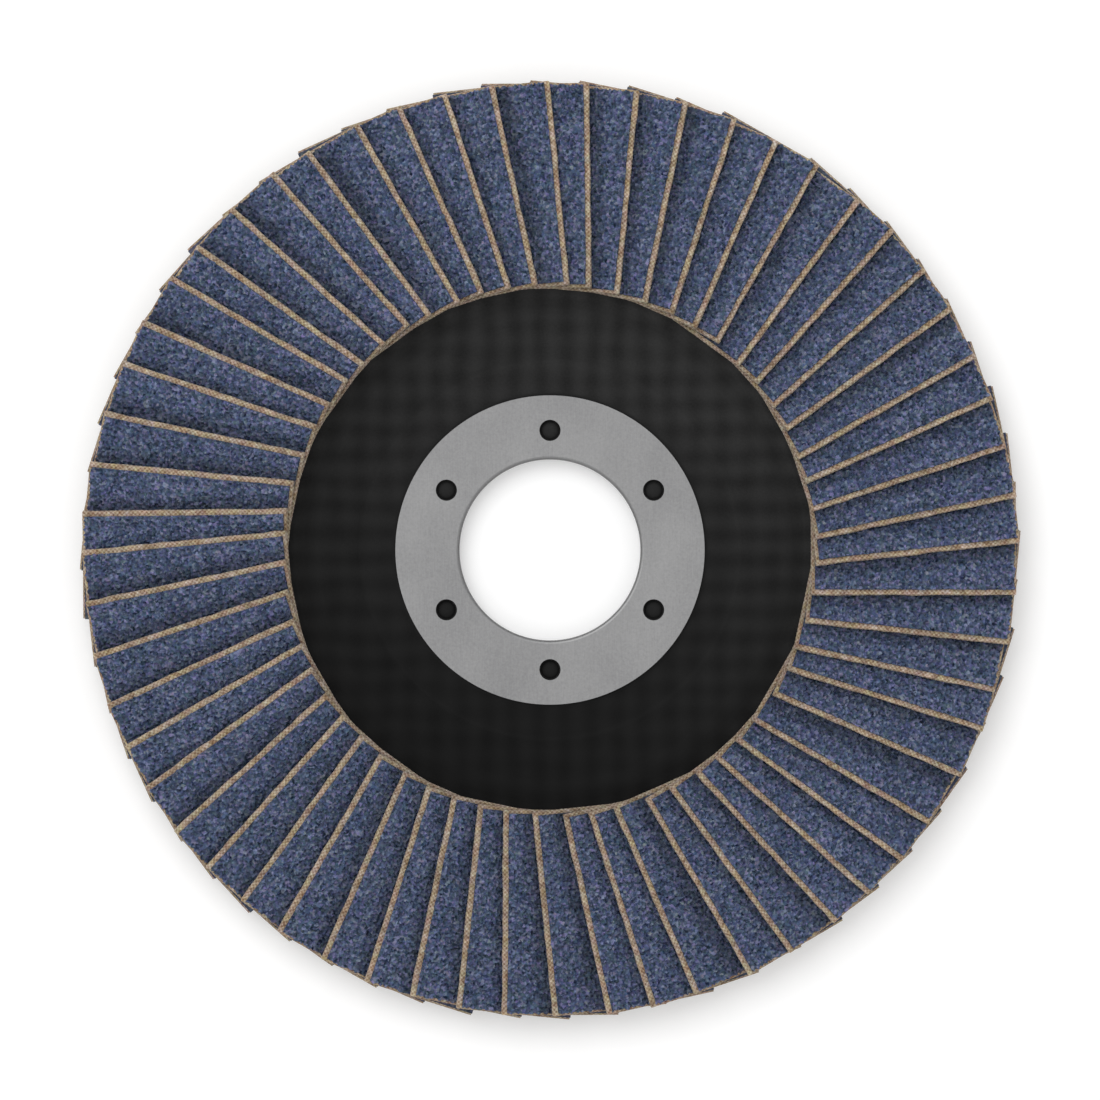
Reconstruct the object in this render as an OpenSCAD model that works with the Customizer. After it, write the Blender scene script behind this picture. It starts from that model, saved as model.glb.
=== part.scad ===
// Flap disc for an angle grinder, millimetres.
// Overlapping flaps of abrasive cloth stand in a bed of cured adhesive on a dished,
// conical plate of moulded glass fibre, and a pressed steel ring lines the bore.
// The origin is the centre of the bore on the back face of the hub, and +Z points
// to the abrasive side.

/* [Disc] */
// Diameter over the outermost corners of the flaps
disc_d = 115; // [112:1:150]
// Arbor bore through the steel ring
bore_d = 22.23; // [20:0.01:23]

/* [Flaps] */
// Number of flaps round the disc
flap_n = 60; // [48:2:80]
// Length of a flap along its free edge
flap_len = 24.8; // [20:0.1:27]
// Width of a flap as seen from above
flap_w = 13.4; // [11:0.1:16]
// Thickness of the coated cloth
flap_t = 1.05; // [0.7:0.05:1.2]
// Air between one flap and the next at their inner ends
flap_gap = 0.06; // [0.04:0.01:0.2]
// Distance from the disc's axis to the line of a free edge
edge_offset = 5; // [2:0.1:7]

/* [Backing plate] */
// Distance from the plate's rim to the outermost corners of the flaps
flap_overhang = 4.5; // [3:0.1:7]
// Thickness of the hub
hub_t = 2.6; // [2:0.1:3.5]
// Thickness of the wall and of the conical annulus
plate_t = 2.4; // [1.8:0.1:3]
// Height of the crest above the front of the hub
dish_depth = 4.8; // [4:0.1:8]
// Slope of the annulus that carries the flaps, in degrees
cone_angle = 10; // [4:0.5:12]
// Slope of the wall between the hub and the annulus, in degrees
wall_angle = 40; // [35:1:65]
// Distance from the end of the crest's curve to the inner ends of the flaps
crest_margin = 1.4; // [0.5:0.1:3]
// Radius of the crest on the abrasive side
crest_r = 3.6; // [3.2:0.1:5]
// Radius of the foot of the wall on the abrasive side
foot_r = 1.2; // [0.5:0.1:3]
// Radius on both edges of the plate's rim
rim_r = 0.7; // [0.2:0.1:0.85]

/* [Adhesive] */
// Thickness of adhesive under the lowest edge of a flap
glue_min = 0.3; // [0.2:0.05:1]
// Distance from the inner ends of the flaps to the inner edge of the bed
glue_inset = 1.6; // [0.5:0.1:4]
// Distance from the outer edge of the bed to the rim of the plate
glue_edge = 1; // [0.3:0.1:4]

/* [Centre ring] */
// Diameter of the ring's flange
ring_d = 38; // [34:0.1:41]
// Thickness of the steel sheet
sheet_t = 0.8; // [0.5:0.05:1]
// Height of the flange above the front of the hub
ring_proud = 0.5; // [0.1:0.05:0.5]
// Bevel on the edge of the flange
ring_bevel = 0.2; // [0.05:0.05:0.3]
// Diameter of the lip that is rolled over the back of the hub
lip_d = 26.4; // [25.4:0.1:30]
// Depth of the lip below the back of the hub
lip_sink = 0.1; // [0.05:0.05:0.4]
// Radius at both mouths of the bore
mouth_r = 0.4; // [0.1:0.05:0.6]
// Number of small holes in the flange
hole_n = 6; // [3:1:12]
// Diameter of a small hole
hole_d = 2.6; // [1.5:0.1:3.5]
// Diameter of the circle of small holes
hole_circle_d = 29.4; // [28:0.1:31]

/* [Fits] */
// Clearance between the ring and the plate
fit_gap = 0.05; // [0.02:0.01:0.15]
// Clearance between the adhesive and what it holds
bond_gap = 0.04; // [0.03:0.01:0.1]

/* [Hidden] */
$fn = 180;
flaps_per_node = 2;
pair_n = ceil(flap_n / flaps_per_node);
function pair_name(i) = str("flap_pair_", i < 10 ? "0" : "", i);

// Flaps in plan. The first one lies along +X, with its free edge at y = -edge_offset
// and its rear edge, which the adhesive holds, at y = rear_offset.
flap_step = 360 / flap_n;
rear_offset = flap_w - edge_offset;
end_lean = flap_t * sin(cone_angle) / 2;
flap_x1 = sqrt(pow(disc_d / 2, 2) - pow(rear_offset, 2)) - end_lean;
flap_x0 = flap_x1 - flap_len;
flap_inner_r = norm([flap_x0, min(edge_offset, rear_offset)]);

// Front face of the annulus, and the adhesive surface on which the rear edges stand
crest_end_r = flap_inner_r - crest_margin;
function annulus_z(r) = hub_t + dish_depth - (r - crest_end_r) * tan(cone_angle);
function seat_z(r) = annulus_z(r) + glue_min + bond_gap;

// Rise from one flap to the next, which leaves flap_gap between them at the inner
// ends. The slope along a flap depends on the rise, so the rise is found in rounds.
sheet_step = flap_t + flap_gap;
arc_step = flap_inner_r * flap_step * PI / 180;
fan_rate = (asin(edge_offset / (flap_inner_r - 1)) + asin(rear_offset / (flap_inner_r - 1))
    - asin(edge_offset / flap_inner_r) - asin(rear_offset / flap_inner_r)) / flap_step;
function rise(guess, rounds) = rounds == 0 ? guess
    : rise(sheet_step * sqrt((1 + pow(tan(cone_angle) + guess * fan_rate, 2))
        / (1 - pow(sheet_step / arc_step, 2))), rounds - 1);
flap_rise = rise(sheet_step, 5);

// Height of a flap's underside above the plan point x, y. It falls by one rise in
// each step round the disc, so all the flaps nest, and meets seat_z at the rear edge.
function underside_z(x, y) = let (r = norm([x, y]))
    seat_z(r) + flap_rise * (asin(rear_offset / r) - atan2(y, x)) / flap_step;

probe = 0.01;
function sheet_normal(x, y) = let (
    slope_x = (underside_z(x + probe, y) - underside_z(x - probe, y)) / (2 * probe),
    slope_y = (underside_z(x, y + probe) - underside_z(x, y - probe)) / (2 * probe)
) [-slope_x, -slope_y, 1] / norm([slope_x, slope_y, 1]);

// A corner of the sheet over the plan point x, y: side 0 is the cloth, side 1 the grain
function sheet_point(x, y, side) = let (
    n = sheet_normal(x, y),
    px = x - n.x * flap_t / 2,
    py = y - n.y * flap_t / 2
) [px, py, underside_z(px, py)] + side * flap_t * n;

// Mesh of a flap: cells along its length and across its width
len_cells = 6;
wid_cells = 4;
side_points = (len_cells + 1) * (wid_cells + 1);
function flap_index(i, j, side) = side * side_points + i * (wid_cells + 1) + j;

// Two triangles over four corners given in turn, clockwise as seen from outside. The
// edge between them runs from the first corner to the third. On these twisted faces it
// is laid so that the flat triangles stay inside the true sheet and clear of the next.
function quad(a, b, c, d) = [[a, b, c], [a, c, d]];

// Adhesive bed: rings of points from its inner to its outer edge, ramps between steps
bed_r0 = flap_inner_r + glue_inset;
bed_r1 = disc_d / 2 - flap_overhang - glue_edge;
bed_rings = 4;
ramp_cells = 2;
ring_points = flap_n * (ramp_cells + 1);
function bed_r(k) = bed_r0 + (bed_r1 - bed_r0) * k / bed_rings;
function step_angle(r, side) = let (
    p = sheet_point(sqrt(r * r - rear_offset * rear_offset), rear_offset, side)
) asin((p.y + bond_gap) / r);
function ramp_angle(r, m) = let (
    from = step_angle(r, 1) - flap_step,
    to = step_angle(r, 0)
) from + (to - from) * m / ramp_cells;
function turned(p, a) = [p.x * cos(a) - p.y * sin(a), p.x * sin(a) + p.y * cos(a), p.z];
function ramp_point(r, flap, m) = let (
    a = ramp_angle(r, m),
    x = r * cos(a),
    y = r * sin(a)
) turned([x, y, underside_z(x, y) - bond_gap], flap * flap_step);
function floor_point(r, flap, m) = let (
    a = ramp_angle(r, m)
) turned([r * cos(a), r * sin(a), annulus_z(r) + bond_gap], flap * flap_step);

// Backing plate: centres of the crest and foot curves. Both faces share the crest's,
// and the foot's lies a little along the wall for the back face, where the hub differs
// in thickness from the wall.
plate_r = disc_d / 2 - flap_overhang;
crest_c = [crest_end_r - crest_r * sin(cone_angle), annulus_z(crest_end_r) - crest_r * cos(cone_angle)];
wall_top = crest_c + crest_r * [-sin(wall_angle), cos(wall_angle)];
foot_end_z = hub_t + foot_r * (1 - cos(wall_angle));
wall_run = (wall_top.y - foot_end_z) / tan(wall_angle);
foot_c = [wall_top.x - wall_run - foot_r * sin(wall_angle), hub_t + foot_r];
foot_back_c = foot_c + (plate_t - hub_t) * [1 / tan(wall_angle), 1];
curve_cells = 8;
function arc(c, r, from, to) = [for (k = [0:curve_cells])
    let (a = from + (to - from) * k / curve_cells) c + r * [cos(a), sin(a)]];

// Rim of the plate: its edges are rounded, square to the annulus
along = [cos(cone_angle), -sin(cone_angle)];
up = [sin(cone_angle), cos(cone_angle)];
rim_front = [plate_r, annulus_z(plate_r)];
rim_back = rim_front - plate_t * up;

// Steel ring
bore_r = bore_d / 2;
flange_z = hub_t + ring_proud;
collar_r = bore_r + sheet_t;
lip_top = lip_sink + sheet_t;

module backing_plate() {
    color("#26262a") difference() {
        rotate_extrude() polygon(concat(
            [[collar_r + fit_gap, 0], [collar_r + fit_gap, hub_t]],
            arc(foot_c, foot_r, -90, wall_angle - 90),
            arc(crest_c, crest_r, wall_angle + 90, 90 - cone_angle),
            arc(rim_front - rim_r * (along + up), rim_r, 90 - cone_angle, -cone_angle),
            arc(rim_back - rim_r * (along - up), rim_r, -cone_angle, -90 - cone_angle),
            arc(crest_c, crest_r - plate_t, 90 - cone_angle, wall_angle + 90),
            arc(foot_back_c, foot_r + plate_t, wall_angle - 90, -90)
        ));
        translate([0, 0, hub_t - sheet_t + ring_proud - fit_gap])
            cylinder(h = hub_t, r = ring_d / 2 + fit_gap);
        translate([0, 0, -hub_t + lip_top + fit_gap]) cylinder(h = hub_t, r = lip_d / 2 + fit_gap);
    }
}

module centre_ring() {
    color("#9b9b9b") difference() {
        rotate_extrude() polygon(concat(
            arc([bore_r + mouth_r, lip_sink + mouth_r], mouth_r, 270, 180),
            arc([bore_r + mouth_r, flange_z - mouth_r], mouth_r, 180, 90),
            [
                [ring_d / 2 - ring_bevel, flange_z],
                [ring_d / 2, flange_z - ring_bevel],
                [ring_d / 2, flange_z - sheet_t],
                [collar_r, flange_z - sheet_t],
                [collar_r, lip_top],
                [lip_d / 2, lip_top],
                [lip_d / 2, lip_sink]
            ]
        ));
        for (k = [0:hole_n - 1])
            rotate(k * 360 / hole_n + 90)
                translate([hole_circle_d / 2, 0, flange_z - 2 * sheet_t])
                    cylinder(h = 3 * sheet_t, d = hole_d, $fn = 32);
    }
}

module adhesive_bed() {
    top = [for (k = [0:bed_rings], f = [0:flap_n - 1], m = [0:ramp_cells]) ramp_point(bed_r(k), f, m)];
    under = [for (k = [0, bed_rings], f = [0:flap_n - 1], m = [0:ramp_cells]) floor_point(bed_r(k), f, m)];
    u0 = len(top);
    n = ring_points;
    color("#5b4a34") polyhedron(points = concat(top, under), faces = [
        for (p = [0:n - 1]) let (q = (p + 1) % n) each concat(
            [for (k = [0:bed_rings - 1]) each quad(k * n + q, k * n + n + q, k * n + n + p, k * n + p)],
            quad(u0 + n + p, u0 + n + q, u0 + q, u0 + p),
            quad(u0 + p, u0 + q, q, p),
            quad(bed_rings * n + p, bed_rings * n + q, u0 + n + q, u0 + n + p)
        )
    ]);
}

module flap() {
    corners = [for (side = [0, 1], i = [0:len_cells], j = [0:wid_cells])
        sheet_point(flap_x0 + flap_len * i / len_cells, flap_w * j / wid_cells - edge_offset, side)];
    cells = [for (i = [0:len_cells - 1], j = [0:wid_cells - 1], side = [0, 1])
        let (
            a = flap_index(i, j, side),
            b = flap_index(i, j + 1, side),
            c = flap_index(i + 1, j + 1, side),
            d = flap_index(i + 1, j, side)
        ) each side == 1 ? quad(b, c, d, a) : quad(c, b, a, d)];
    long_edges = [for (i = [0:len_cells - 1], j = [0, wid_cells])
        let (
            a = flap_index(i, j, 0),
            b = flap_index(i, j, 1),
            c = flap_index(i + 1, j, 1),
            d = flap_index(i + 1, j, 0)
        ) each j == 0 ? quad(a, b, c, d) : quad(d, c, b, a)];
    short_edges = [for (j = [0:wid_cells - 1], i = [0, len_cells])
        let (
            a = flap_index(i, j, 0),
            b = flap_index(i, j + 1, 0),
            c = flap_index(i, j + 1, 1),
            d = flap_index(i, j, 1)
        ) each i == 0 ? quad(a, b, c, d) : quad(d, c, b, a)];
    polyhedron(points = corners, faces = concat(cells, long_edges, short_edges));
}

module flap_pair(i) {
    first = (i - 1) * flaps_per_node;
    last = min(first + flaps_per_node, flap_n) - 1;
    color("#505361") for (k = [first:last]) rotate(k * flap_step) flap();
}

backing_plate();
centre_ring();
adhesive_bed();
for (i = [1:pair_n]) flap_pair(i);
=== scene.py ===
import math

import bpy
import numpy as np
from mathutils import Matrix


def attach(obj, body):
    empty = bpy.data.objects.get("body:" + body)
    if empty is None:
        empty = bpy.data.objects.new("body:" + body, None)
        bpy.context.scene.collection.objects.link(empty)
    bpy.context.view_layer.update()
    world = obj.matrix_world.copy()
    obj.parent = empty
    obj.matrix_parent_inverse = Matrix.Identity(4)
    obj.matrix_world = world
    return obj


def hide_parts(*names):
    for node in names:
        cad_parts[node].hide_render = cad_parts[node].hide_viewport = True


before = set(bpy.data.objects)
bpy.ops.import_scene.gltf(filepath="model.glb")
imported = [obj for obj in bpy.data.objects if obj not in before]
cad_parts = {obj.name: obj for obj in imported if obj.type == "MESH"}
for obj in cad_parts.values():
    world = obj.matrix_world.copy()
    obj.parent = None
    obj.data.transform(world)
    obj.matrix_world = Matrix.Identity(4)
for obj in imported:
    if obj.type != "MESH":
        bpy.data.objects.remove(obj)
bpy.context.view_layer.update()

# Backing plate.
# One dished, conical moulding of black phenolic resin over layers of woven glass cloth.
# It is pressed hot in a mould, so the cloth prints through as a faint square relief.
mm = 0.001
plate_steps = 400
weave_pitch = 3.17
weave_depth = 0.08
front_press = 0.5
cross_share = 0.4
front_cell = 0.42
hidden_cell = 2.4
back_cell = 0.6
hub_front = 2.6
seat_r = 19.05
seat_floor = 2.25
lip_seat_r = 13.25
lip_seat_top = 0.95
plate_bore_r = 11.965
wall_angle = 40
crest_centre = (30.355, 3.855)
crest_r = 3.6
crest_back_r = 1.2
foot_centre = (22.823, 3.8)
foot_r = 1.2
foot_back_centre = (22.584, 3.6)
foot_back_r = 3.6
rim_front_centre = (52.189, 2.95)
rim_back_centre = (52.015, 1.965)
rim_r = 0.7
hidden_from = (34, 6.868)


def take(piece):
    """Leaves only this piece selected and active."""
    bpy.ops.object.select_all(action="DESELECT")
    piece.select_set(True)
    bpy.context.view_layer.objects.active = piece


def edit(piece, select="SELECT"):
    """Opens this piece for editing with all of it selected, or none of it."""
    take(piece)
    bpy.ops.object.mode_set(mode="EDIT")
    bpy.ops.mesh.select_mode(type="VERT")
    bpy.ops.mesh.select_all(action=select)


def leave():
    bpy.ops.object.mode_set(mode="OBJECT")


def finish_with(piece, kind, **settings):
    """Adds a modifier and applies it."""
    take(piece)
    modifier = piece.modifiers.new(kind, kind)
    for name, value in settings.items():
        setattr(modifier, name, value)
    bpy.ops.object.modifier_apply(modifier=modifier.name)


def places(piece):
    """Each vertex's place, in millimetres."""
    flat = np.empty(len(piece.data.vertices) * 3)
    piece.data.vertices.foreach_get("co", flat)
    return flat.reshape(-1, 3) / mm


def group(piece, name, weights):
    """A vertex group with these weights, one for each vertex."""
    made = piece.vertex_groups.new(name=name)
    for weight in np.unique(weights[weights > 0]):
        made.add(np.flatnonzero(weights == weight).tolist(), float(weight), "REPLACE")
    return made.name


def arc(centre, radius, start, end, cells=10):
    """Points of radius and height along an arc, which starts and ends at these degrees."""
    turns = [math.radians(a) for a in np.linspace(start, end, cells + 1)]
    return [(centre[0] + radius * math.cos(a), centre[1] + radius * math.sin(a)) for a in turns]


def in_cells(points, cell):
    """The same line with its long stretches divided."""
    line = [points[0]]
    for (r0, z0), (r1, z1) in zip(points, points[1:]):
        n = max(1, round(math.hypot(r1 - r0, z1 - z0) / cell))
        line += [(r0 + (r1 - r0) * k / n, z0 + (z1 - z0) * k / n) for k in range(1, n + 1)]
    return line


def turned(name, outline, steps):
    """A piece spun about the disc's axis from a closed outline of radius and height."""
    bpy.ops.object.select_all(action="DESELECT")
    bpy.ops.mesh.primitive_plane_add(size=mm)
    piece = bpy.context.object
    piece.name = piece.data.name = name
    bpy.ops.object.mode_set(mode="EDIT")
    bpy.ops.mesh.select_mode(type="VERT")
    bpy.ops.mesh.select_all(action="SELECT")
    bpy.ops.mesh.merge(type="CENTER")
    bpy.ops.transform.translate(value=(outline[0][0] * mm, 0, outline[0][1] * mm))
    for (r0, z0), (r1, z1) in zip(outline, outline[1:] + outline[:1]):
        bpy.ops.mesh.extrude_region_move(
            TRANSFORM_OT_translate={"value": ((r1 - r0) * mm, 0, (z1 - z0) * mm)})
    bpy.ops.mesh.select_all(action="SELECT")
    bpy.ops.mesh.remove_doubles(threshold=0.001 * mm)
    bpy.ops.mesh.spin(steps=steps, angle=math.tau, center=(0, 0, 0), axis=(0, 0, 1))
    bpy.ops.mesh.select_all(action="SELECT")
    bpy.ops.mesh.remove_doubles(threshold=0.001 * mm)
    bpy.ops.mesh.normals_make_consistent(inside=False)
    leave()
    return piece


front = (
    [(seat_r, hub_front)]
    + arc(foot_centre, foot_r, -90, wall_angle - 90, 4)
    + arc(crest_centre, crest_r, wall_angle + 90, 80, 10)
    + [hidden_from]
)
rim = arc(rim_front_centre, rim_r, 80, -10, 5) + arc(rim_back_centre, rim_r, -10, -100, 5)
back = (
    arc(crest_centre, crest_back_r, 80, wall_angle + 90, 6)
    + arc(foot_back_centre, foot_back_r, wall_angle - 90, -90, 8)
    + [(lip_seat_r, 0)]
)
seats = [(lip_seat_r, lip_seat_top), (plate_bore_r, lip_seat_top), (plate_bore_r, seat_floor),
         (seat_r, seat_floor), (seat_r, hub_front)]
plate_outline = (
    in_cells(seats, hidden_cell)[:-1]
    + in_cells(front, front_cell)[:-1]
    + in_cells([front[-1], rim[0]], hidden_cell)[:-1]
    + in_cells(rim, front_cell)[:-1]
    + in_cells([rim[-1]] + back, back_cell)
)
plate = turned("plate", plate_outline, plate_steps)

# The weave is two sets of soft, slightly wandering bands pressed in across each other, deeper
# on the back. On the front, the yarns that run up the wall of the dish stand out most.
smooth = places(plate)
r = np.hypot(smooth[:, 0], smooth[:, 1])
facing = np.empty(len(smooth) * 3)
plate.data.vertices.foreach_get("normal", facing)
facing = facing.reshape(-1, 3)[:, 2]
on_front = (facing > 0.5) & (r > seat_r + 0.2) & (r < hidden_from[0] + 1)
on_back = (facing < -0.5) & (r > lip_seat_r + 0.3) & (r < rim_back_centre[0] + 0.3)
pressed = np.zeros(len(smooth))
for turn, off_axis in ((45, smooth[:, 0]), (-45, smooth[:, 1])):
    share = cross_share + (1 - cross_share) * (off_axis / r) ** 2
    press = np.where(on_front, front_press * share, np.where(on_back, 1.0, 0.0))
    pressed += press
    weave = group(plate, "weave", press.round(2))
    bpy.ops.object.empty_add(rotation=(0, 0, math.radians(turn)))
    guide = bpy.context.object
    guide.scale = (math.sqrt(2) * weave_pitch * mm * 10 / math.tau,) * 2 + (1000,)
    bpy.context.view_layer.update()
    bands = bpy.data.textures.new("bands", "WOOD")
    bands.wood_type = "BANDNOISE"
    bands.noise_basis_2 = "SIN"
    bands.turbulence = 1.6
    bands.noise_scale = 0.8
    finish_with(plate, "DISPLACE", texture=bands, texture_coords="OBJECT",
                texture_coords_object=guide, strength=weave_depth * mm, mid_level=1.0,
                vertex_group=weave)
    bpy.data.objects.remove(guide)
deepest = weave_depth * np.maximum(pressed, front_press)
sunk = np.linalg.norm(places(plate) - smooth, axis=1) / deepest
plate.vertex_groups.clear()

# Resin that the press drove up into the ring's six small holes stands there as low domes.
hole_circle_r = 14.7
dome_r = 1.12
dome_z = 2.2
dome_flatness = 0.36
smooth_to = math.radians(35)
hole_turns = [math.radians(30 + 60 * k) for k in range(6)]
for turn in hole_turns:
    bpy.ops.object.select_all(action="DESELECT")
    bpy.ops.mesh.primitive_uv_sphere_add(
        segments=20, ring_count=10, radius=dome_r * mm,
        location=(hole_circle_r * math.cos(turn) * mm, hole_circle_r * math.sin(turn) * mm,
                  dome_z * mm))
    dome = bpy.context.object
    dome.scale = (1, 1, dome_flatness)
    bpy.ops.object.transform_apply(location=True, rotation=True, scale=True)
    plate.select_set(True)
    bpy.context.view_layer.objects.active = plate
    bpy.ops.object.join()
take(plate)
bpy.ops.object.shade_smooth_by_angle(angle=smooth_to)
for name, values, on_domes in (("crown", 1 - sunk, 0.9), ("front_side", on_front, 1.0)):
    made = plate.data.attributes.new(name, "FLOAT", "POINT")
    everywhere = np.full(len(plate.data.vertices), on_domes, np.float32)
    everywhere[:len(values)] = values
    made.data.foreach_set("value", everywhere)


def paint(red, green, blue):
    """A colour as it looks, 0 to 255 a channel, as the linear colour that a shader takes."""
    return tuple(((c / 255 + 0.055) / 1.055) ** 2.4 if c > 10 else c / 255 / 12.92
                 for c in (red, green, blue)) + (1,)


def new_finish(name):
    """A new material, its node tree and its shader."""
    finish = bpy.data.materials.new(name)
    finish.use_nodes = True
    return finish, finish.node_tree, finish.node_tree.nodes["Principled BSDF"]


def coat_with(piece, finish):
    piece.data.materials.clear()
    piece.data.materials.append(finish)


def node(tree, kind, inputs, **settings):
    """Adds a node. Each input is given a value or another node's output."""
    made = tree.nodes.new("ShaderNode" + kind)
    for name, value in settings.items():
        setattr(made, name, value)
    for socket, value in inputs.items():
        if isinstance(value, bpy.types.NodeSocket):
            tree.links.new(value, made.inputs[socket])
        else:
            made.inputs[socket].default_value = value
    return made


def ramp(tree, value, *stops):
    """A colour ramp over value, from its stops as place and colour."""
    made = node(tree, "ValToRGB", {"Fac": value})
    steps = made.color_ramp.elements
    steps.remove(steps[1])
    steps[0].position, steps[0].color = stops[0]
    for place, colour in stops[1:]:
        steps.new(place).color = colour
    return made.outputs["Color"]


def maths(tree, operation, *values):
    """A sum worked out on plain values."""
    return node(tree, "Math", dict(enumerate(values)), operation=operation).outputs[0]


def mixed(tree, *parts):
    """The sum of some values, each given with its weight."""
    total = maths(tree, "MULTIPLY", *parts[0])
    for value, weight in parts[1:]:
        total = maths(tree, "MULTIPLY_ADD", value, weight, total)
    return total


def spread(tree, value, start, end, least=0.0, most=1.0, **settings):
    """How far value is on its way from start to end, given from least to most."""
    limits = {"Value": value, "From Min": start, "From Max": end, "To Min": least, "To Max": most}
    return node(tree, "MapRange", limits, **settings).outputs["Result"]


def channels(tree, operation, *values):
    """A sum worked out on each channel of a colour or each axis of a place."""
    return node(tree, "VectorMath", dict(enumerate(values)), operation=operation).outputs[0]


def scaled(tree, colour, share):
    return node(tree, "VectorMath", {0: colour, "Scale": share}, operation="SCALE").outputs[0]


def noise(tree, at, size, detail=2.0, roughness=0.5):
    """Noise whose features are about size millimetres across, from 0 to 1."""
    return node(tree, "TexNoise", {"Vector": at, "Scale": 1 / (size * mm), "Detail": detail,
                                   "Roughness": roughness}).outputs["Fac"]


def bump(tree, height, depth, strength=1.0, under=None):
    """Fine relief up to depth millimetres, laid over the relief under it."""
    inputs = {"Height": height, "Distance": depth * mm, "Strength": strength}
    if under:
        inputs["Normal"] = under
    return node(tree, "Bump", inputs).outputs["Normal"]


resin, tree, shader = new_finish("moulded_resin")
at = node(tree, "TexCoord", {}).outputs["Object"]
yarn = node(tree, "Attribute", {}, attribute_name="crown").outputs["Fac"]
uneven = noise(tree, at, 5.0, 3)
specks = noise(tree, at, 0.25, 4, 0.7)
tone = mixed(tree, (yarn, 0.33), (specks, 0.5), (uneven, 0.25), (1.0, -0.145))
plain = ramp(tree, tone, (0.1, paint(8, 8, 8)), (0.9, paint(28, 28, 28)))
# Painted light and shade: the front is painted a little greyer on the wall of the dish and on the
# crest, to even out the dish's own shading, and painted lighter towards one side, as if lit from
# there.
painted_dish_from = 21.5
painted_dish_to = 31.5
painted_side_half = 31
back_grey = 1.5
flat = channels(tree, "MULTIPLY", at, (1, 1, 0))
out = node(tree, "VectorMath", {0: flat}, operation="LENGTH").outputs["Value"]
from_foot = spread(tree, out, painted_dish_from * mm, painted_dish_to * mm)
# Painted shade and light by radius: lighter on the wall of the dish, darker over the crest,
# lighter again at its edge under the flaps.
painted_dish_shading = ramp(tree, from_foot, *[(place, (grey, grey, grey, 1)) for place, grey in (
    (0.05, 0.58), (0.14, 0.61), (0.18, 0.66), (0.24, 0.73), (0.41, 0.7), (0.61, 0.66),
    (0.7, 0.61), (0.75, 0.53), (0.84, 0.48), (0.91, 0.66), (0.98, 1.0))])
# Painted light: the front is painted lighter towards +Y and a little towards +X, as if lit from
# that side.
to_side = node(tree, "VectorMath", {0: at, 1: (0.2, 1, 0)},
               operation="DOT_PRODUCT").outputs["Value"]
from_side = spread(tree, to_side, -painted_side_half * mm, painted_side_half * mm)
painted_side_light = maths(tree, "MULTIPLY_ADD", maths(tree, "POWER", from_side, 1.4), 5.4, 1.2)
front_side = node(tree, "Attribute", {}, attribute_name="front_side").outputs["Fac"]
painted_front_light = maths(tree, "MULTIPLY", painted_side_light, painted_dish_shading)
# On the front this carries the painted shade and light above; the back keeps an even tone.
grey = spread(tree, front_side, 0.0, 1.0, back_grey, painted_front_light)
tree.links.new(scaled(tree, plain, grey), shader.inputs["Base Color"])
tree.links.new(maths(tree, "MULTIPLY_ADD", specks, 0.2, 0.66), shader.inputs["Roughness"])
shader.inputs["Specular IOR Level"].default_value = 0.13
tree.links.new(bump(tree, noise(tree, at, 0.35, 4, 0.65), 0.03, 0.5), shader.inputs["Normal"])
coat_with(plate, resin)
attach(plate, "root")
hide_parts("backing_plate")

# Centre ring.
# A flange pressed from 0.8 mm steel sheet, with a collar drawn through the plate and a lip
# rolled over behind it. Its six small holes let the resin grip it. The sheet is satin grey.
ring_steps = 180
flange_r = 19.0
flange_top = 3.1
flange_under = 2.3
collar_r = 11.915
mouth_centre_r = 11.515
mouth_r = 0.4
lip_r = 13.2
lip_top = 0.9
lip_face = 0.1
punch_length = 4
ring_hole_r = 1.3
ring_edge = 0.13
ring_outline = (
    arc((mouth_centre_r, lip_face + mouth_r), mouth_r, 270, 180, 4)
    + arc((mouth_centre_r, flange_top - mouth_r), mouth_r, 180, 90, 5)
    + [(flange_r, flange_top), (flange_r, flange_under), (collar_r, flange_under)]
    + [(collar_r, lip_top), (lip_r, lip_top), (lip_r, lip_face)]
)
ring = turned("ring", ring_outline, ring_steps)
for turn in hole_turns:
    bpy.ops.object.select_all(action="DESELECT")
    bpy.ops.mesh.primitive_cylinder_add(
        vertices=40, radius=ring_hole_r * mm, depth=punch_length * mm,
        location=(hole_circle_r * math.cos(turn) * mm, hole_circle_r * math.sin(turn) * mm,
                  flange_under * mm))
    punch = bpy.context.object
    finish_with(ring, "BOOLEAN", object=punch, operation="DIFFERENCE", solver="EXACT")
    bpy.data.objects.remove(punch)
finish_with(ring, "BEVEL", width=ring_edge * mm, segments=3, limit_method="ANGLE",
            angle_limit=math.radians(40))
take(ring)
bpy.ops.object.shade_smooth_by_angle(angle=smooth_to)
# The flat faces stay flat up to their rounded edges.
edit(ring, "DESELECT")
bpy.ops.mesh.select_mode(type="FACE")
leave()
for face in ring.data.polygons:
    face.select = abs(face.normal.z) > 0.9999
bpy.ops.object.mode_set(mode="EDIT")
bpy.ops.mesh.faces_shade_flat()
leave()

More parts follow.
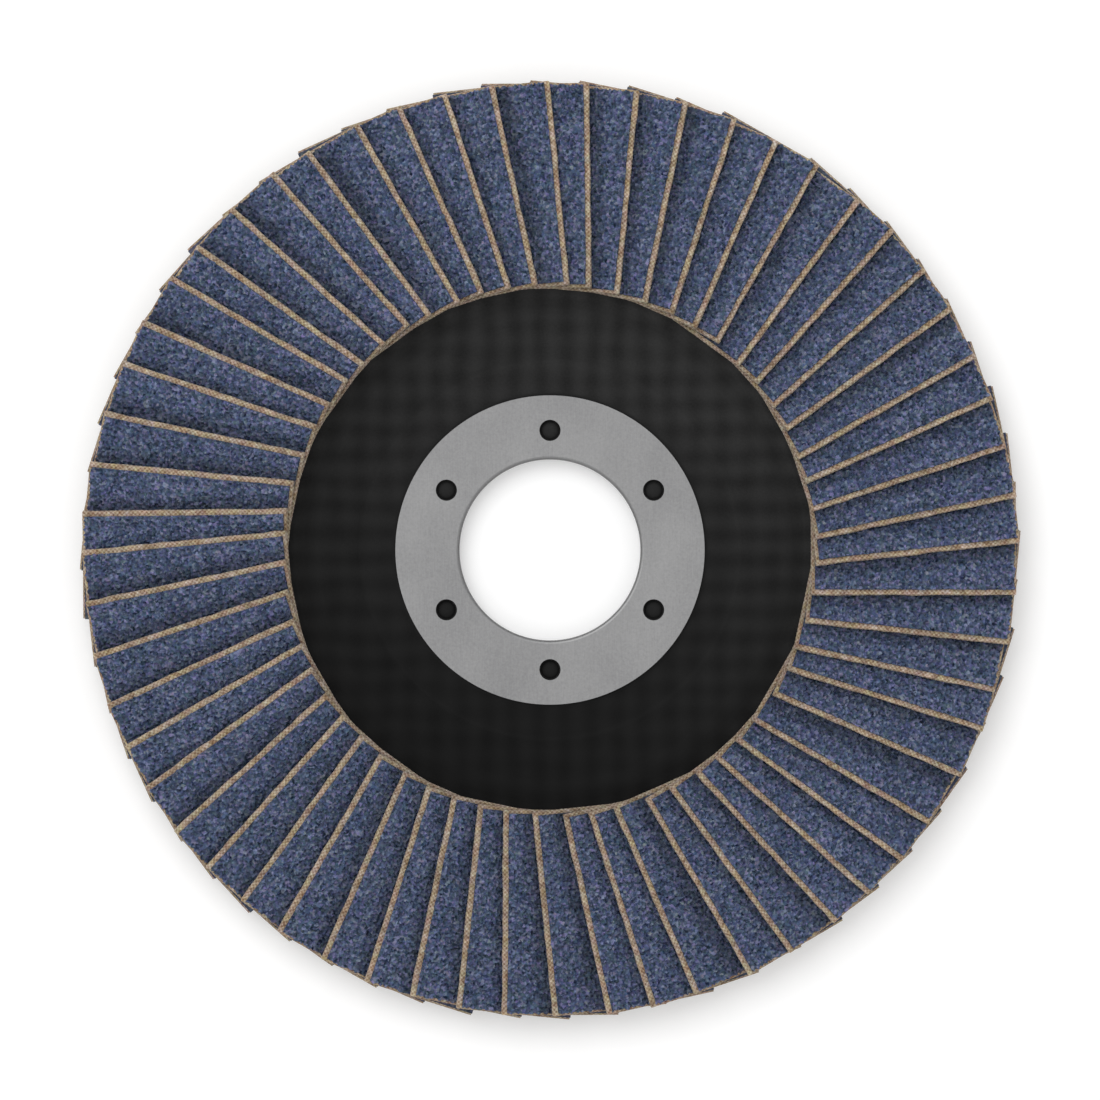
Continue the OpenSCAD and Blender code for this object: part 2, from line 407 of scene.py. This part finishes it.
steel, tree, shader = new_finish("satin_steel")
at = node(tree, "TexCoord", {}).outputs["Object"]
rolled = node(tree, "Mapping", {"Vector": at, "Rotation": (0, 0, 0.5),
                                "Scale": (1, 0.04, 1)}).outputs["Vector"]
grain_lines = noise(tree, rolled, 0.12, 3, 0.6)
pits = noise(tree, at, 0.3, 4, 0.7)
cloud = noise(tree, at, 9.0, 2)
tone = mixed(tree, (pits, 0.5), (grain_lines, 0.2), (cloud, 0.3))
tree.links.new(ramp(tree, tone, (0.3, paint(115, 115, 116)), (0.7, paint(145, 145, 145))),
               shader.inputs["Base Color"])
tree.links.new(maths(tree, "MULTIPLY_ADD", pits, 0.22, 0.36), shader.inputs["Roughness"])
tree.links.new(bump(tree, grain_lines, 0.006, 0.5, bump(tree, pits, 0.012, 0.5)),
               shader.inputs["Normal"])
shader.inputs["Metallic"].default_value = 1.0
coat_with(ring, steel)
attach(ring, "root")
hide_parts("centre_ring")

# Adhesive bed.
# One ring of brown epoxy, laid wet on the plate's annulus. The flaps' rear edges are pressed
# into it, and it swells out between them in an uneven bead before it cures.
bed_inner_free = 34.1
bed_outer_free = 51.9
bead_size = 2.4
bead_swell = 0.9
bead_least = 0.25


def copied(name, node_name):
    """A copy of a solid, merged to quads, as the start of a piece that keeps its shape."""
    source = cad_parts[node_name]
    piece = bpy.data.objects.new(name, source.data.copy())
    piece.data.name = name
    bpy.context.collection.objects.link(piece)
    edit(piece)
    bpy.ops.mesh.remove_doubles(threshold=0.001 * mm)
    bpy.ops.mesh.tris_convert_to_quads(face_threshold=math.radians(8),
                                       shape_threshold=math.radians(60))
    leave()
    return piece


bed = copied("adhesive", "adhesive_bed")
finish_with(bed, "SUBSURF", levels=1, render_levels=1, subdivision_type="SIMPLE")
at = places(bed)
r = np.hypot(at[:, 0], at[:, 1])
free = group(bed, "free", np.where((r > bed_outer_free) | (r < bed_inner_free), 1.0, 0.0))
blobs = bpy.data.textures.new("blobs", "CLOUDS")
blobs.noise_scale = bead_size * mm
finish_with(bed, "DISPLACE", texture=blobs, texture_coords="LOCAL", strength=bead_swell * mm,
            mid_level=bead_least, vertex_group=free)
take(bed)
bpy.ops.object.shade_smooth_by_angle(angle=math.radians(50))

epoxy, tree, shader = new_finish("cured_epoxy")
at = node(tree, "TexCoord", {}).outputs["Object"]
cloudy = noise(tree, at, 3.0, 3)
tree.links.new(ramp(tree, cloudy, (0.3, paint(74, 52, 30)), (0.7, paint(112, 82, 50))),
               shader.inputs["Base Color"])
tree.links.new(maths(tree, "MULTIPLY_ADD", noise(tree, at, 1.0, 3), 0.2, 0.12),
               shader.inputs["Roughness"])
tree.links.new(bump(tree, noise(tree, at, 0.8, 3), 0.08, 0.6), shader.inputs["Normal"])
shader.inputs["Coat Weight"].default_value = 0.4
coat_with(bed, epoxy)
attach(bed, "root")
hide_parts("adhesive_bed")

# Flaps.
# Sixty sheets cut from a roll of tan polyester-cotton cloth, coated with blue-grey abrasive
# grain in resin. Each lies on the next one. The cutting knife crumbles the coat along the
# edges, so the cloth shows there as a narrow tan line.
flap_count = 60
flap_turn = math.tau / flap_count
edge_offset = 5.0
coat_t = 0.42
cloth_t = 0.63
coat_sunk = 0.03
frayed = 0.28
frayed_inner = 0.14
frayed_outer = 0.24
free_edge_back = 0.31
inner_end_back = 0.26
outer_end_back = 0.1
rear_back = 0.1
grain_cols = 18
grain_rows = 14
grain_depth = 0.2
grain_jitter = 0.085
grain_to = 2.2
loose_to = 2.5
edge_zone = 0.25
cloth_edge = 0.07
waver_size = 2.0
waver_depth = 0.3
waver_zone = 1.0
waver_step = 0.1


def another(piece, name):
    made = piece.copy()
    made.data = piece.data.copy()
    made.name = made.data.name = name
    bpy.context.collection.objects.link(made)
    return made


# The upper face of the first flap's solid, from which both layers are made
top = copied("top_sheet", "flap_pair_01")
edit(top)
bpy.ops.mesh.separate(type="LOOSE")
leave()
top, second = sorted(bpy.context.selected_objects, key=lambda o: places(o)[:, 1].mean())
bpy.data.objects.remove(second)
edit(top, "DESELECT")
bpy.ops.mesh.select_mode(type="FACE")
leave()
for face in top.data.polygons:
    face.select = face.normal.z < 0.5
bpy.ops.object.mode_set(mode="EDIT")
bpy.ops.mesh.delete(type="FACE")
leave()
corner = places(top)
x_inner, x_outer = corner[:, 0].min(), corner[:, 0].max()
y_free, y_rear = corner[:, 1].min(), corner[:, 1].max()
lean = np.mean([tuple(f.normal) for f in top.data.polygons], axis=0)
slope_out = -lean[0] / lean[2]
slope_side = -lean[1] / lean[2]


def keep_place(piece):
    """Keeps each vertex's place on the flap, in millimetres, for patterns that follow it."""
    made = piece.data.attributes.new("on_flap", "FLOAT_VECTOR", "POINT")
    made.data.foreach_set("vector", places(piece).astype(np.float32).ravel())


# The cloth
cloth = another(top, "cloth")
edit(cloth)
bpy.ops.mesh.subdivide(number_cuts=2)
leave()
finish_with(cloth, "DISPLACE", strength=-coat_t * mm, mid_level=0)
finish_with(cloth, "SOLIDIFY", thickness=cloth_t * mm, offset=-1, use_even_offset=True)
finish_with(cloth, "BEVEL", width=cloth_edge * mm, segments=2, limit_method="ANGLE",
            angle_limit=math.radians(50))
at = places(cloth)
for edge_part, dx, dy in ((at[:, 1] < y_free + edge_zone, 0, -frayed),
                          (at[:, 0] < x_inner + edge_zone, -frayed_inner, 0),
                          (at[:, 0] > x_outer - edge_zone, frayed_outer, 0)):
    edit(cloth, "DESELECT")
    leave()
    cloth.data.vertices.foreach_set("select", edge_part)
    bpy.ops.object.mode_set(mode="EDIT")
    bpy.ops.transform.translate(
        value=(dx * mm, dy * mm, (dx * slope_out + dy * slope_side) * mm))
    leave()
keep_place(cloth)

# The coat of grain, cut back from the edges and divided as finely as its grain where it shows
coat = another(top, "coat")
edit(coat)
for place, way in (((x_inner + inner_end_back, 0, 0), (-1, 0, 0)),
                   ((x_outer - outer_end_back, 0, 0), (1, 0, 0)),
                   ((0, y_free + free_edge_back, 0), (0, -1, 0)),
                   ((0, y_rear - rear_back, 0), (0, 1, 0))):
    bpy.ops.mesh.select_all(action="SELECT")
    bpy.ops.mesh.bisect(plane_co=tuple(v * mm for v in place), plane_no=way, clear_outer=True,
                        threshold=0.0001 * mm)
leave()
finish_with(coat, "SOLIDIFY", thickness=(coat_t + coat_sunk) * mm, offset=-1, use_even_offset=True)
upper = set()
for face in coat.data.polygons:
    if face.normal.z > 0.5:
        upper.update(face.vertices)
on_top = coat.data.attributes.new("on_top", "FLOAT", "POINT")
on_top.data.foreach_set("value", [float(i in upper) for i in range(len(coat.data.vertices))])


def top_part(piece):
    """For each vertex, whether it belongs to the coat's upper face."""
    flat = np.empty(len(piece.data.vertices), np.float32)
    piece.data.attributes["on_top"].data.foreach_get("value", flat)
    return flat > 0.99


for along_flap, cuts in ((True, grain_cols - 1), (False, grain_rows - 1)):
    tops = top_part(coat)
    at = places(coat)
    edit(coat, "DESELECT")
    bpy.ops.mesh.select_mode(type="EDGE")
    leave()
    for line in coat.data.edges:
        a, b = line.vertices
        run = abs(at[a] - at[b])
        line.select = bool(tops[a] and tops[b] and (run[0] > run[1]) == along_flap
                           and max(at[a][1], at[b][1]) < grain_to)
    bpy.ops.object.mode_set(mode="EDIT")
    bpy.ops.mesh.subdivide(number_cuts=cuts)
    leave()
grains = top_part(coat) & (places(coat)[:, 1] < grain_to)
keep_place(coat)

cloth_finish, tree, shader = new_finish("backing_cloth")
at = node(tree, "Attribute", {}, attribute_name="on_flap").outputs["Vector"]
own = node(tree, "TexCoord", {}).outputs["Object"]
split = node(tree, "SeparateXYZ", {"Vector": at})
yarn_pitch = 0.55
darker_inner_width = 0.5
warp = maths(tree, "SINE", maths(tree, "MULTIPLY", split.outputs["X"], math.tau / yarn_pitch))
weft = maths(tree, "SINE", maths(tree, "MULTIPLY", split.outputs["Y"], math.tau / yarn_pitch))
crowns = maths(tree, "MULTIPLY", warp, weft)
fibre = noise(tree, own, 0.16, 4, 0.7)
shade = noise(tree, own, 0.7, 3)
tone = mixed(tree, (fibre, 0.5), (shade, 0.5), (crowns, 0.09))
tan = ramp(tree, tone, (0.36, paint(112, 86, 66)), (0.48, paint(152, 131, 109)),
           (0.58, paint(177, 161, 139)), (0.7, paint(204, 193, 175)))
# Threads here and there are redder or more yellow, and the cloth is darker over about its last
# half millimetre at the inner ends.
threads = node(tree, "TexNoise", {"Vector": own, "Scale": 1 / (1.1 * mm),
                                  "Detail": 2.0}).outputs["Color"]
dyed = channels(tree, "MULTIPLY_ADD", threads, (0.35, 0.35, 0.8), (0.83, 0.83, 0.61))
darker_inner_end = spread(tree, split.outputs["X"], x_inner, x_inner + darker_inner_width, 0.8, 1.0)
tan = channels(tree, "MULTIPLY", tan, dyed)
tree.links.new(scaled(tree, tan, darker_inner_end), shader.inputs["Base Color"])
shader.inputs["Roughness"].default_value = 0.85
shader.inputs["Sheen Weight"].default_value = 0.15
shader.inputs["Specular IOR Level"].default_value = 0.25
tree.links.new(bump(tree, crowns, 0.05, 0.6, bump(tree, fibre, 0.05, 0.6)),
               shader.inputs["Normal"])
coat_with(cloth, cloth_finish)

# Painted shade: the grain is painted darker next to the flap above it, as the shade that flap's
# edge casts on it.
grain_finish, tree, shader = new_finish("abrasive_grain")
own = node(tree, "TexCoord", {}).outputs["Object"]
at = node(tree, "Attribute", {}, attribute_name="on_flap").outputs["Vector"]
split = node(tree, "SeparateXYZ", {"Vector": at})
clear_of_next = mixed(tree, (split.outputs["X"], math.sin(flap_turn)),
                      (split.outputs["Y"], -math.cos(flap_turn)), (1.0, -edge_offset))
# Painted shade, darkest just beside the next flap's edge and fading out over about two
# millimetres.
painted_shade_by_next_flap = spread(tree, clear_of_next, 0.4, 2.6, 0.48, 1.0, interpolation_type="SMOOTHSTEP")
cells = node(tree, "TexVoronoi", {"Vector": own, "Scale": 1 / (0.34 * mm)})
each = node(tree, "SeparateColor", {"Color": cells.outputs["Color"]}).outputs["Red"]
mottle = noise(tree, own, 0.45, 3, 0.6)
wide = noise(tree, own, 5.0, 2)
# Painted shade in hollows: the grain is painted darker where it sinks in and lighter where it
# stands up.
height = node(tree, "Attribute", {}, attribute_name="grain_height").outputs["Fac"]
tone = mixed(tree, (each, 0.32), (mottle, 0.55), (height, 0.22), (wide, 0.1), (1.0, -0.05))
grain_colour = ramp(tree, tone, (0.3, paint(33, 38, 55)), (0.5, paint(52, 62, 86)),
                    (0.66, paint(70, 83, 111)), (0.86, paint(110, 123, 150)))
tint = channels(tree, "MULTIPLY_ADD", cells.outputs["Color"], (0.5, 0.36, 0.4), (0.75, 0.82, 0.8))
tinted = channels(tree, "MULTIPLY", grain_colour, tint)
tree.links.new(scaled(tree, tinted, painted_shade_by_next_flap), shader.inputs["Base Color"])
tree.links.new(maths(tree, "MULTIPLY_ADD", each, 0.3, 0.35), shader.inputs["Roughness"])
tree.links.new(bump(tree, cells.outputs["Distance"], 0.12, 0.5, bump(tree, mottle, 0.06, 0.4)),
               shader.inputs["Normal"])
shader.inputs["Specular IOR Level"].default_value = 0.25
coat_with(coat, grain_finish)

# Each flap has its own grain, which stands up and sinks in at random, and lies a little
# further out or in and to one side than the next.
hand = np.random.default_rng(11)
outwards = np.clip(hand.normal(0.16, 0.14, flap_count), -0.15, 0.45)
sideways = np.clip(hand.normal(-0.08, 0.28, flap_count), -0.5, 0.45)
x_middle = (x_inner + x_outer) / 2
waver = bpy.data.textures.new("waver", "CLOUDS")
waver.noise_scale = waver_size * mm
for k in range(flap_count):
    flap = another(cloth, f"flap_{k + 1:02d}")
    grit = another(coat, "grit")
    smooth = places(grit)
    edit(grit, "DESELECT")
    leave()
    grit.data.vertices.foreach_set("select", grains)
    bpy.ops.object.mode_set(mode="EDIT")
    bpy.ops.transform.vertex_random(offset=-grain_depth * mm, normal=1.0, seed=2 * k + 1)
    bpy.ops.transform.vertex_random(offset=grain_jitter * mm, seed=2 * k + 2)
    leave()
    depth = np.clip(1 + (places(grit)[:, 2] - smooth[:, 2]) / grain_depth, 0, 1)
    height = grit.data.attributes.new("grain_height", "FLOAT", "POINT")
    height.data.foreach_set("value", depth.astype(np.float32))
    take(flap)
    grit.select_set(True)
    bpy.ops.object.join()
    # The free edge wavers where the knife has pulled the cloth.
    near = np.clip(1 - (places(flap)[:, 1] - y_free) / waver_zone, 0, 1).round(1)
    knife = group(flap, "free_edge", near)
    bpy.ops.object.empty_add(location=(0, 0, (k + 1) * waver_step))
    guide = bpy.context.object
    bpy.context.view_layer.update()
    finish_with(flap, "DISPLACE", texture=waver, texture_coords="OBJECT",
                texture_coords_object=guide, direction="Y", strength=waver_depth * mm,
                mid_level=0.5, vertex_group=knife)
    bpy.data.objects.remove(guide)
    flap.vertex_groups.clear()
    # The loose part slides along the flap below, and the rear edge stays in the adhesive.
    edit(flap, "DESELECT")
    leave()
    flap.data.vertices.foreach_set("select", places(flap)[:, 1] < loose_to)
    bpy.ops.object.mode_set(mode="EDIT")
    bpy.ops.transform.rotate(value=-sideways[k] / x_middle, orient_axis="Z",
                             center_override=(0, 0, 0))
    bpy.ops.transform.translate(value=(0, 0, sideways[k] * slope_side * mm))
    leave()
    flap.location = (outwards[k] * mm, 0, outwards[k] * slope_out * mm)
    bpy.ops.object.transform_apply(location=True, rotation=True, scale=True)
    flap.rotation_euler = (0, 0, flap_turn * k)
    bpy.ops.object.transform_apply(location=True, rotation=True, scale=True)
    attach(flap, "root")
    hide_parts(f"flap_pair_{k // 2 + 1:02d}")
for spare in (top, cloth, coat):
    bpy.data.objects.remove(spare)

# Floor and light.
# The disc lies on the back of its hub on a plain white floor, under a white sky and one
# large soft lamp towards the upper left.
floor_size = 6
lamp_place = (-0.35, 0.5, 1.1)
lamp_size = 0.9
lamp_power = 6.0
camera_height = 1.88
camera_lens = 500
bpy.ops.object.select_all(action="DESELECT")
bpy.ops.mesh.primitive_plane_add(size=floor_size)
floor = bpy.context.object
floor.name = "floor"
white, tree, shader = new_finish("white_floor")
shader.inputs["Base Color"].default_value = (0.8, 0.8, 0.8, 1)
shader.inputs["Roughness"].default_value = 0.9
shader.inputs["Specular IOR Level"].default_value = 0.1
seen = node(tree, "LightPath", {})
mirrored = maths(tree, "MAXIMUM", seen.outputs["Is Camera Ray"], seen.outputs["Is Glossy Ray"])
glow = node(tree, "Emission", {"Color": (1, 1, 1, 1),
                               "Strength": maths(tree, "MULTIPLY", mirrored, 0.24)})
both = node(tree, "AddShader", {0: shader.outputs[0], 1: glow.outputs[0]})
tree.links.new(both.outputs[0], tree.nodes["Material Output"].inputs["Surface"])
floor.data.materials.append(white)

sky = bpy.data.worlds.new("sky")
bpy.context.scene.world = sky
sky.use_nodes = True
tree = sky.node_tree
seen = node(tree, "LightPath", {})
mirrored = maths(tree, "MAXIMUM", seen.outputs["Is Camera Ray"], seen.outputs["Is Glossy Ray"])
strength = spread(tree, mirrored, 0.0, 1.0, 0.86, 1.0)
backdrop = tree.nodes["Background"]
backdrop.inputs["Color"].default_value = (1, 1, 1, 1)
tree.links.new(strength, backdrop.inputs["Strength"])

bpy.ops.object.light_add(type="AREA", location=lamp_place)
lamp = bpy.context.object
lamp.data.size = lamp_size
lamp.data.energy = lamp_power
lamp.rotation_euler = lamp.location.to_track_quat("Z", "Y").to_euler()

bpy.ops.object.camera_add(location=(0, 0, camera_height))
camera = bpy.context.object
camera.data.lens = camera_lens
camera.data.clip_start = 0.05
camera.data.clip_end = 20
bpy.context.scene.camera = camera
bpy.context.scene.view_settings.view_transform = "Standard"
